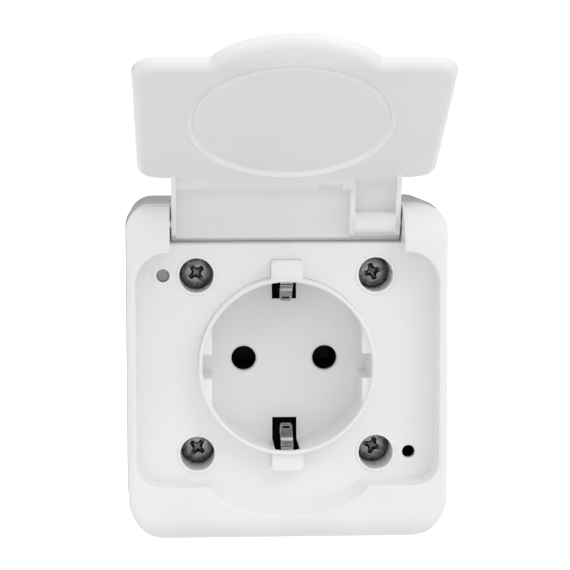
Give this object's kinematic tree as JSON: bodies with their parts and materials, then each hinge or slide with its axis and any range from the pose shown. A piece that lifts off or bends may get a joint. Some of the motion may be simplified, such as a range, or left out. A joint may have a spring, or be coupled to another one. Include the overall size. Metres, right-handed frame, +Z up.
{
  "type": "outdoor weatherproof socket",
  "caption": "Surface-mounted outdoor socket outlet: a deep box, a screwed cover with a round recessed well, side earth clips and a hinged lid held open.",
  "frame": {"origin": "where the socket well's axis meets the wall, on the back face of the box", "axes": "+Y into the wall, so the front faces -Y; +Z up; +X to the right as seen from the front"},
  "size_m": [0.0736, 0.0918, 0.1145],
  "materials": {
    "grey_plastic": "fine matt",
    "white_plastic": "semi-gloss moulded",
    "lid_plastic": "semi-gloss moulded",
    "rubber": "matt",
    "screw_steel": "dark zinc",
    "clip_steel": "bright",
    "carrier_plastic": "matt",
    "brass": "plain"
  },
  "bodies": {
    "housing": {"back_box": "grey_plastic", "box_gasket": "rubber", "cable_grommet": "rubber", "blanking_plug": "grey_plastic", "fixing_seals": "rubber", "cover": "white_plastic", "cover_screws": "screw_steel", "screw_seals": "rubber", "socket_well": "white_plastic", "contact_carrier": "carrier_plastic", "contact_left": "brass", "contact_right": "brass", "clamp_left": "brass", "clamp_right": "brass", "clamp_earth": "brass", "clamp_screws": "screw_steel", "earth_bridge": "clip_steel", "carrier_screws": "screw_steel", "well_screws": "screw_steel", "hinge_pin": "clip_steel"},
    "lid": {"lid": "lid_plastic"}
  },
  "joints": [
    {"name": "lid_hinge", "type": "hinge", "parent": "housing", "child": "lid", "pos_m": [0, -0.03905, 0.03235], "axis": [-1, 0, 0], "range_deg": [-118.8, 0]}
  ]
}
